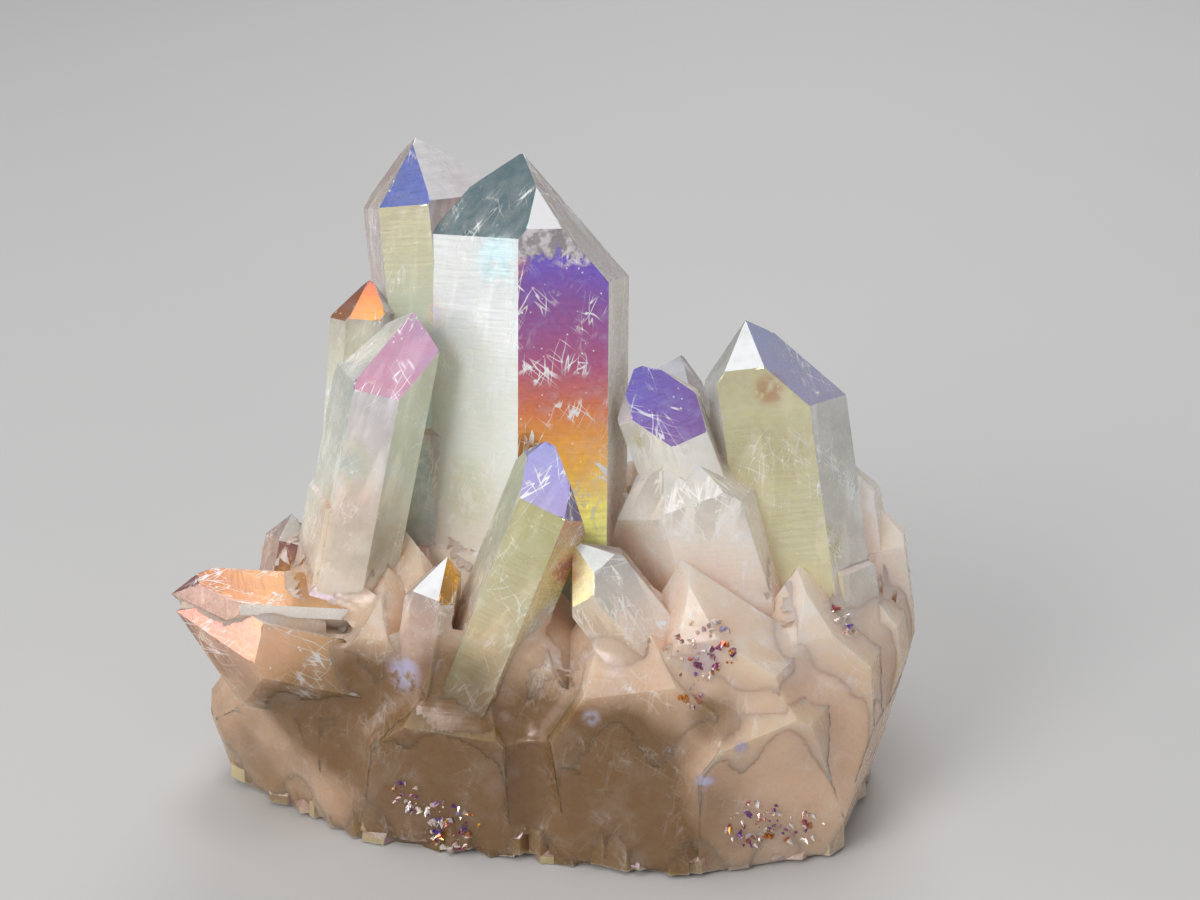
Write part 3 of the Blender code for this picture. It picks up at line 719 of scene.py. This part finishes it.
def paint_faces(shape, labels):
    """Store each coat, and how milky the quartz is, on the corners of the faces."""
    label = shape.faces.layers.int["label"]
    layers = {name: shape.loops.layers.float.new(name)
              for name in ("hue", "strength", "pale", "specks", "milk", "bare")}
    growth = shape.loops.layers.uv.new("growth")
    for face in shape.faces:
        owner, coat = labels[face[label]]
        if owner:
            crystal = CRYSTALS[owner[0]]
            axis = along(crystal.lean) @ UP
            first, last = crystal.clear
            rise = crystal.sides[owner[2]] / math.tan(math.radians(CAP_SLOPE))
            upper = rise - crystal.lifts[owner[2]]
        else:
            axis = UP
            upper = 0.0
        side = axis.cross(face.normal)
        side = side.normalized() if side.length > 0.01 else Vector((1.0, 0.0, 0.0))
        for loop in face.loops:
            place = loop.vert.co / MM + MIDDLE
            if owner:
                drop = (Vector(crystal.tip) - place).dot(axis)
                milk = (drop - first) / (last - first)
                shift = owner[0] * MARKS_APART
            else:
                drop = -place.z
                milk = FOOT_MILK + (FOOT_TOP - place.z) / FOOT_FADE
                shift = 0.0
            along_face = (drop - coat.drops[0]) / (coat.drops[1] - coat.drops[0])
            along_face = min(max(along_face, -0.5), 1.5)
            loop[layers["hue"]] = coat.hue[0] + (coat.hue[1] - coat.hue[0]) * along_face
            share = step(place.z, COAT_END) if owner else 1.0
            loop[layers["strength"]] = coat.strength * share
            loop[layers["pale"]] = coat.pale
            loop[layers["specks"]] = coat.specks
            loop[layers["milk"]] = milk
            loop[layers["bare"]] = coat.bare - max(drop - upper, 0.0) if owner else coat.bare
            loop[growth].uv = (place.dot(side) + shift, drop)


def to_object(shape, name):
    """A new piece with its place in its mesh."""
    mesh = bpy.data.meshes.new(name)
    shape.to_mesh(mesh)
    shape.free()
    piece = bpy.data.objects.new(name, mesh)
    bpy.context.scene.collection.objects.link(piece)
    return piece


def millimetres(graph):
    """Object coordinates in millimetres."""
    place = graph.node("ShaderNodeTexCoord", output="Object")
    return graph.node("ShaderNodeVectorMath", {"operation": "SCALE"},
                      {"Vector": place, "Scale": 1 / MM})


def rainbow(graph, hue):
    return graph.node("ShaderNodeValToRGB", {"stops": RAINBOW}, {"Fac": hue}, output="Color")


def scratch_marks(graph, growth, specks):
    """Thin straight scratches in patches, and small pale specks."""
    marks = None
    for turn, reach in SCRATCHES:
        lines = graph.noise(graph.stretched(growth, turn, SCRATCH_SIZES), scale=1.0, detail=2.0)
        scratch = abs(lines - 0.5).below(reach * 0.4, reach)
        marks = scratch if marks is None else marks + scratch
    patches = graph.noise(growth, scale=0.22).above(0.46, 0.60)
    cells = graph.node("ShaderNodeTexVoronoi", {}, {"Vector": growth, "Scale": 1.6},
                       output="Distance")
    dots = cells.below(0.10, 0.17) * graph.noise(growth, scale=0.5).above(0.48, 0.56)
    return ((marks * patches + dots) * specks).clamped()


def near(graph, place, middle, radius):
    """1 in the middle of a ball and 0 outside it, with a soft edge."""
    return graph.distance(place, Vector(middle) - MIDDLE).below(radius * SPOT_CORE, radius)


def spots_and_glint(graph, place, hue, strength, pale):
    """The coat's hue, strength and paleness with the coloured spots and one painted glint laid
    over.
    """
    ragged = graph.noise(place, scale=0.9, detail=2.0).above(0.30, 0.52)
    for spot in SPOTS_AND_GLINT:
        inside = near(graph, place, spot.place, spot.radius) * ragged
        hue = hue.towards(spot.hue, inside)
        strength = strength.towards(spot.strength, inside)
        pale = pale.towards(spot.pale, inside)
    return hue, strength, pale


def stained(graph, place, across, height, settings):
    """Cream quartz that turns to peach and then brown in the foot, with painted light making it
    paler on the right.
    """
    cloudy = graph.noise(place, scale=0.14, detail=2.0) * 0.75
    stain = height.below(*STAIN_HEIGHTS) * (cloudy + 0.45)
    patchy = cloudy + 0.15
    for middle, radius in STAINS:
        stain = stain + near(graph, place, middle, radius) * patchy
    # Painted light: the stain is weakened on the foot's right side, where the light falls.
    stain = stain * across.below(*PAINTED_LIGHT_RIGHT).towards(1.0, LEAST_STAIN)
    stops = [(0.0, rgba(settings.milk)), (0.42, rgba(settings.peach)), (1.0, rgba(settings.foot))]
    return graph.node("ShaderNodeValToRGB", {"stops": stops}, {"Fac": stain}, output="Color")


WHITE = rgba((0.95, 0.95, 0.96))
WORN_DARK = rgba((0.17, 0.14, 0.17))
WORN_PALE = rgba((0.52, 0.48, 0.50))


def quartz_finish(settings):
    """Clear to milky quartz under a thin metal coat, worn through along scratches, with painted
    highlights in the coat's colour and painted light on the foot's right side.
    """
    graph = Graph("aura_quartz")
    place = millimetres(graph)
    growth = graph.node("ShaderNodeUVMap", {"uv_map": "growth"})
    across, height = graph.node("ShaderNodeSeparateXYZ", {}, {"Vector": place},
                                output=("X", "Z"))
    broad = graph.noise(place, scale=0.10, detail=1.0)
    fine = graph.noise(place, scale=0.85, detail=3.0, roughness=0.6)
    grain = graph.noise(place, scale=3.2, detail=1.0, roughness=0.6)
    bare = graph.attribute("bare") + (fine - 0.5) * 5.0
    worn = bare.above(-0.3, 0.5)
    specks = graph.attribute("specks")
    marks = (scratch_marks(graph, growth, specks) * (1 - worn * 0.6)).clamped()

    hue, strength, pale = spots_and_glint(graph, place, graph.attribute("hue"),
                                  graph.attribute("strength"), graph.attribute("pale"))
    hue = hue + (broad - 0.5) * 0.16 + (fine - 0.5) * 0.10
    # The near-white coats of some caps and faces, and the glint spot, are painted highlights in
    # this colour.
    tint_with_highlights = graph.mix(pale, rainbow(graph, hue), WHITE)
    worn_colour = graph.mix(fine.above(0.45, 0.6), WORN_DARK, WORN_PALE)
    coat_and_highlight_colour = graph.mix(worn, tint_with_highlights, worn_colour)
    cover = (strength * (0.66 + fine * 0.72) * (1 - marks) * (1 - worn * 0.25)).clamped()

    # The stone colour carries painted light: it is paler on the foot's right side.
    stone_with_painted_light = stained(graph, place, across, height, settings)
    cloud = graph.noise(place, scale=0.30, detail=3.0, roughness=0.62)
    wisps = graph.noise(graph.stretched(growth, 8, (2.0, 8.0, 1.0)), scale=1.0, detail=3.0,
                        roughness=0.6)
    deep = height.below(12.0, 26.0)
    pallor = cloud.above(0.45, 0.75) * (0.40 - deep * 0.32) + marks * (1 - deep * 0.7)
    cloudy = graph.mix(pallor.clamped(), stone_with_painted_light, WHITE)
    milk = (graph.attribute("milk") + (cloud - 0.5) * 0.8 + wisps.above(0.50, 0.66) * 0.5
            + marks).clamped() * (1 - CLEAREST_MILK) + CLEAREST_MILK

    ridges = graph.node("ShaderNodeMapping", {}, {"Vector": growth, "Scale": (0.25, 2.4, 1.0)})
    relief = graph.noise(ridges, scale=1.0, detail=2.0) * 0.5 + fine * 0.42
    bump = graph.node("ShaderNodeBump", {}, {
        "Strength": 0.25, "Distance": 0.0002, "Height": relief})

    clear = graph.node("ShaderNodeBsdfPrincipled", {}, {
        "Base Color": rgba((0.97, 0.97, 0.98)), "Roughness": 0.03 + fine * 0.05,
        "IOR": 1.54, "Transmission Weight": 1.0, "Thin Film Thickness": 270.0,
        "Thin Film IOR": 1.6, "Normal": bump})
    milky = graph.node("ShaderNodeBsdfPrincipled", {}, {
        "Base Color": cloudy, "Roughness": 0.16 + fine * 0.24, "IOR": 1.54,
        "Subsurface Weight": 0.7, "Subsurface Radius": (1.0, 0.78, 0.55),
        "Subsurface Scale": 0.005, "Normal": bump})
    film = graph.node("ShaderNodeBsdfPrincipled", {}, {
        "Base Color": coat_and_highlight_colour, "Metallic": (0.75 - pale * 0.75).clamped(),
        "Roughness": 0.10 + grain * 0.16 + specks * 0.16, "IOR": 1.7, "Normal": bump})
    quartz = graph.blend(milk, clear, milky)
    absorption = graph.node("ShaderNodeVolumeAbsorption", {}, {
        "Color": rgba((0.97, 0.92, 0.88)), "Density": 12.0})
    return graph.finish(graph.blend(cover, quartz, film), absorption)


class QUARTZ_OT_crystals(bpy.types.Operator):
    """Finish the grown-together crystals"""
    bl_idname = "quartz.crystals"
    bl_label = "Crystals"

    def execute(self, context):
        settings = context.scene.quartz_crystals
        shape = cluster_shape()
        labels = label_faces(shape)
        wear_edges(shape, settings)
        paint_faces(shape, labels)
        piece = to_object(shape, PIECE)
        piece.data.materials.append(quartz_finish(settings))
        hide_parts(SOLID)
        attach(piece, "root")
        return {"FINISHED"}


def swollen(piece, settings):
    """The piece's mesh grown outwards until its gaps close, then shrunk back by as much."""
    for strength in (settings.reach, -settings.reach):
        grain = piece.modifiers.new("grain", "REMESH")
        grain.mode = "VOXEL"
        grain.voxel_size = settings.grain
        growth = piece.modifiers.new("growth", "DISPLACE")
        growth.mid_level = 0.0
        growth.strength = strength
    rounding = piece.modifiers.new("rounding", "SMOOTH")
    rounding.iterations = settings.rounding
    graph = bpy.context.evaluated_depsgraph_get()
    return bpy.data.meshes.new_from_object(piece.evaluated_get(graph))


def settle(shape, settings):
    """Let the mass die out at both ends, and drop what lies hidden or is drawn out too far."""
    crystals = cluster_shape()
    skin = BVHTree.FromBMesh(crystals)
    crystals.free()
    hidden = set()
    shape.normal_update()
    for vert in shape.verts:
        height = vert.co.z / MM + WAVE_HEIGHT * math.sin(vert.co.x / MM * WAVE_TURN)
        vert.co += vert.normal * settings.cover * (1 - step(height, COVER_TOP))
        near_place, outwards, _, _ = skin.find_nearest(vert.co)
        stands_out = (vert.co - near_place).dot(outwards)
        fade = max(step(height, MASS_TOP), 1 - step(height, MASS_START))
        vert.co = vert.co.lerp(near_place - outwards * settings.sink * 2, fade)
        if fade == 1.0 or stands_out < settings.sink:
            hidden.add(vert)
    unseen = [face for face in shape.faces if hidden.issuperset(face.verts)
              or (face.verts[0].co.z / MM > MASS_TOP[0]
                  and max(edge.calc_length() for edge in face.edges) > TORN * settings.grain)]
    bmesh.ops.delete(shape, geom=unseen, context="FACES")
    shape.normal_update()


MASS_COAT = {"hue": 0.5, "strength": 0.06, "pale": 0.3, "specks": 0.3, "bare": -9.0}


def paint_mass(shape):
    """Give the mass the same corner values as the foot."""
    layers = {name: shape.loops.layers.float.new(name) for name in (*MASS_COAT, "milk")}
    growth = shape.loops.layers.uv.new("growth")
    for face in shape.faces:
        face.smooth = True
        for loop in face.loops:
            place = loop.vert.co / MM + MIDDLE
            for name, value in MASS_COAT.items():
                loop[layers[name]] = value
            loop[layers["milk"]] = MASS_MILK + (FOOT_TOP - place.z) / FOOT_FADE
            loop[growth].uv = (place.x, -place.z)


class QUARTZ_OT_mass(bpy.types.Operator):
    """Fill the gaps between the crystals of the foot with milky quartz"""
    bl_idname = "quartz.mass"
    bl_label = "Mass"

    def execute(self, context):
        settings = context.scene.quartz_mass
        carrier = to_object(cluster_shape(), "mass_carrier")
        shape = bmesh.new()
        shape.from_mesh(swollen(carrier, settings))
        bpy.data.objects.remove(carrier)
        settle(shape, settings)
        if not shape.faces:
            raise RuntimeError("the milky mass has no faces")
        keep_inside(shape.verts)
        paint_mass(shape)
        piece = to_object(shape, "mass")
        piece.data.materials.append(bpy.data.materials["aura_quartz"])
        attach(piece, "root")
        return {"FINISHED"}


def druse_finish():
    """A bright coat whose colour changes from one small point to the next."""
    graph = Graph("druse_coat")
    place = millimetres(graph)
    cells = graph.node("ShaderNodeTexVoronoi", {}, {"Vector": place, "Scale": 1.3},
                       output="Color")
    chance = graph.node("ShaderNodeSeparateXYZ", {}, {"Vector": cells}, output="X")
    wash = graph.node("ShaderNodeSeparateXYZ", {}, {"Vector": cells}, output="Y")
    hue = 0.16 + chance * 0.5
    colour = graph.mix(wash.above(0.15, 0.75), rainbow(graph, hue), rgba((0.90, 0.80, 0.72)))
    return graph.finish(graph.node("ShaderNodeBsdfPrincipled", {}, {
        "Base Color": colour, "Metallic": 0.45 + chance * 0.4, "Roughness": 0.12}))


def druse_nodes(material):
    """Geometry nodes that grow six-sided points on the patches of a carrier."""
    group = bpy.data.node_groups.new("druse", "GeometryNodeTree")
    group.interface.new_socket("Geometry", in_out="OUTPUT", socket_type="NodeSocketGeometry")
    for name, kind in DRUSE_INPUTS.items():
        group.interface.new_socket(name, in_out="INPUT", socket_type=kind)
    tree = Tree(group)
    carrier, density, smallest, largest, slenderness, seed = tree.node(
        "NodeGroupInput", output=tuple(DRUSE_INPUTS))
    points, turned = tree.node(
        "GeometryNodeDistributePointsOnFaces", {"distribute_method": "RANDOM"},
        {"Mesh": carrier, "Density": density, "Seed": seed}, output=("Points", "Rotation"))
    place = tree.node("GeometryNodeInputPosition")
    ragged = (tree.noise(place, scale=900.0) - 0.5) * 2.0 * PATCH_EDGE * MM
    outside = None
    for middle, radius in PATCHES:
        apart = tree.distance(place, (Vector(middle) - MIDDLE) * MM) + ragged
        beyond = apart.above(radius * MM, radius * MM * 1.01)
        outside = beyond if outside is None else outside * beyond
    kept = tree.node("GeometryNodeDeleteGeometry", {"domain": "POINT"},
                     {"Geometry": points, "Selection": outside})
    tilt = tree.node("FunctionNodeRandomValue", {"data_type": "FLOAT_VECTOR"},
                     {0: (-0.5, -0.5, -3.0), 1: (0.5, 0.5, 3.0), "Seed": 1})
    tilted = tree.node("FunctionNodeRotateRotation", {"rotation_space": "LOCAL"},
                       {0: turned, 1: tree.node("FunctionNodeEulerToRotation", {}, {0: tilt})})
    size = tree.node("FunctionNodeRandomValue", {"data_type": "FLOAT"},
                     {2: smallest, 3: largest, "Seed": 2}, output=1)
    point = tree.node("GeometryNodeMeshCone", {}, {
        "Vertices": 6, "Radius Top": 0.0, "Radius Bottom": 1.0, "Depth": slenderness})
    sunk = tree.node("GeometryNodeTransform", {}, {
        "Geometry": point, "Translation": (0.0, 0.0, -0.35)})
    grown = tree.node("GeometryNodeInstanceOnPoints", {}, {
        "Points": kept, "Instance": sunk, "Rotation": tilted, "Scale": size})
    real = tree.node("GeometryNodeRealizeInstances", {}, {"Geometry": grown})
    coated = tree.node("GeometryNodeSetMaterial", {}, {"Geometry": real, "Material": material})
    tree.sink("NodeGroupOutput", {"Geometry": coated})
    return group


DRUSE_INPUTS = {"Carrier": "NodeSocketGeometry", "Density": "NodeSocketFloat",
                "Smallest": "NodeSocketFloat", "Largest": "NodeSocketFloat",
                "Slenderness": "NodeSocketFloat", "Seed": "NodeSocketInt"}


class QUARTZ_OT_druse(bpy.types.Operator):
    """Grow small sparkling points on the foot"""
    bl_idname = "quartz.druse"
    bl_label = "Druse"

    def execute(self, context):
        settings = context.scene.quartz_druse
        carrier = to_object(cluster_shape(), "druse_carrier")
        growth = carrier.modifiers.new("druse", "NODES")
        growth.node_group = druse_nodes(druse_finish())
        values = {"Density": settings.density / MM ** 2, "Smallest": settings.smallest,
                  "Largest": settings.largest, "Slenderness": settings.slenderness,
                  "Seed": settings.seed}
        for item in growth.node_group.interface.items_tree:
            if item.name in values:
                growth[item.identifier] = values[item.name]
        grown = carrier.evaluated_get(context.evaluated_depsgraph_get())
        mesh = bpy.data.meshes.new_from_object(grown)
        bpy.data.objects.remove(carrier)
        if not mesh.polygons:
            raise RuntimeError("no small points grew on the foot")
        keep_inside(mesh.vertices)
        piece = bpy.data.objects.new("druse", mesh)
        context.scene.collection.objects.link(piece)
        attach(piece, "root")
        return {"FINISHED"}


def floor_finish(settings):
    graph = Graph("plain_floor")
    place = graph.node("ShaderNodeTexCoord", output="Object")
    mottle = graph.noise(place, scale=30.0, detail=3.0)
    colour = graph.mix(mottle * 0.12, rgba(settings.floor), rgba((0.5, 0.5, 0.5)))
    return graph.finish(graph.node("ShaderNodeBsdfPrincipled", {}, {
        "Base Color": colour, "Roughness": 0.6}))


# A softbox: its place and size in metres and its power in watts. All face one point.
Softbox = namedtuple("Softbox", "place size power")
SOFTBOXES = {
    "top": Softbox((-0.05, -0.08, 0.60), 0.32, 1.0),
    "key": Softbox((-0.34, -0.36, 0.36), 0.26, 1.4),
    "right": Softbox((0.42, -0.62, 0.10), 0.36, 0.60),
    "left": Softbox((-0.60, -0.10, 0.14), 0.40, 0.8),
    "back": Softbox((0.10, 0.45, 0.40), 0.30, 0.9),
}
LIT_POINT = Vector((0.0, 0.0, 0.03))


def place_softboxes():
    for name, box in SOFTBOXES.items():
        light = bpy.data.lights.new(f"softbox_{name}", "AREA")
        light.size = box.size
        light.energy = box.power
        lamp = bpy.data.objects.new(f"softbox_{name}", light)
        lamp.location = box.place
        aim = LIT_POINT - Vector(box.place)
        lamp.rotation_euler = aim.to_track_quat("-Z", "Y").to_euler()
        bpy.context.scene.collection.objects.link(lamp)


def place_camera(settings):
    """A long lens that looks a little down on the largest faces."""
    lens = bpy.data.cameras.new("camera")
    lens.lens = LENS
    lens.sensor_width = SENSOR
    lens.clip_start = NEAREST
    camera = bpy.data.objects.new("camera", lens)
    rise = settings.camera_rise
    target = (LOOK_AT - MIDDLE) * MM
    back = Vector((0.0, -math.cos(rise), math.sin(rise)))
    camera.location = target + back * settings.camera_distance
    camera.rotation_euler = (math.pi / 2 - rise, 0.0, 0.0)
    bpy.context.scene.collection.objects.link(camera)
    bpy.context.scene.camera = camera


# The lens and its sensor in millimetres, and the nearest it sees in metres.
LENS = 60.0
SENSOR = 36.0
NEAREST = 0.005
LOOK_AT = Vector((5.4, 0.0, 33.0))
FLOOR_SIZE = 6.0
BOUNCES = {"max_bounces": 7, "diffuse_bounces": 2, "glossy_bounces": 3,
           "transmission_bounces": 7, "volume_bounces": 0}
SKY = (0.86, 0.88, 0.92, 1.0)
SKY_STRENGTH = 0.31


class QUARTZ_OT_studio(bpy.types.Operator):
    """Set up a plain floor, soft lights and the camera"""
    bl_idname = "quartz.studio"
    bl_label = "Studio"

    def execute(self, context):
        settings = context.scene.quartz_studio
        bpy.ops.mesh.primitive_plane_add(size=FLOOR_SIZE)
        floor = context.object
        floor.name = "floor"
        floor.data.materials.append(floor_finish(settings))
        place_softboxes()
        place_camera(settings)
        world = bpy.data.worlds.new("soft_sky")
        world.use_nodes = True
        sky = world.node_tree.nodes["Background"]
        sky.inputs["Color"].default_value = SKY
        sky.inputs["Strength"].default_value = SKY_STRENGTH
        context.scene.world = world
        context.scene.view_settings.view_transform = "Standard"
        for kind, bounces in BOUNCES.items():
            setattr(context.scene.cycles, kind, bounces)
        return {"FINISHED"}


class QUARTZ_PT_panel(bpy.types.Panel):
    """Lists the pieces of the cluster"""
    bl_label = "Aura quartz cluster"
    bl_idname = "QUARTZ_PT_panel"
    bl_space_type = "VIEW_3D"
    bl_region_type = "UI"
    bl_category = "Quartz"

    def draw(self, context):
        for operator, settings in PANEL_ROWS:
            box = self.layout.box()
            box.operator(operator)
            group = getattr(context.scene, settings)
            for name in group.__annotations__:
                box.prop(group, name)


PANEL_ROWS = [("quartz.crystals", "quartz_crystals"), ("quartz.mass", "quartz_mass"),
              ("quartz.druse", "quartz_druse"), ("quartz.studio", "quartz_studio")]
GROUPS = {"quartz_crystals": CrystalSettings, "quartz_mass": MassSettings,
          "quartz_druse": DruseSettings, "quartz_studio": StudioSettings}
CLASSES = [CrystalSettings, MassSettings, DruseSettings, StudioSettings, QUARTZ_OT_crystals,
           QUARTZ_OT_mass, QUARTZ_OT_druse, QUARTZ_OT_studio, QUARTZ_PT_panel]


def register():
    for kind in CLASSES:
        bpy.utils.register_class(kind)
    for name, group in GROUPS.items():
        setattr(bpy.types.Scene, name, PointerProperty(type=group))


def unregister():
    for name in GROUPS:
        delattr(bpy.types.Scene, name)
    for kind in reversed(CLASSES):
        bpy.utils.unregister_class(kind)


def main():
    register()
    bpy.ops.quartz.crystals()
    bpy.ops.quartz.mass()
    bpy.ops.quartz.druse()
    bpy.ops.quartz.studio()


if __name__ == "__main__":
    main()
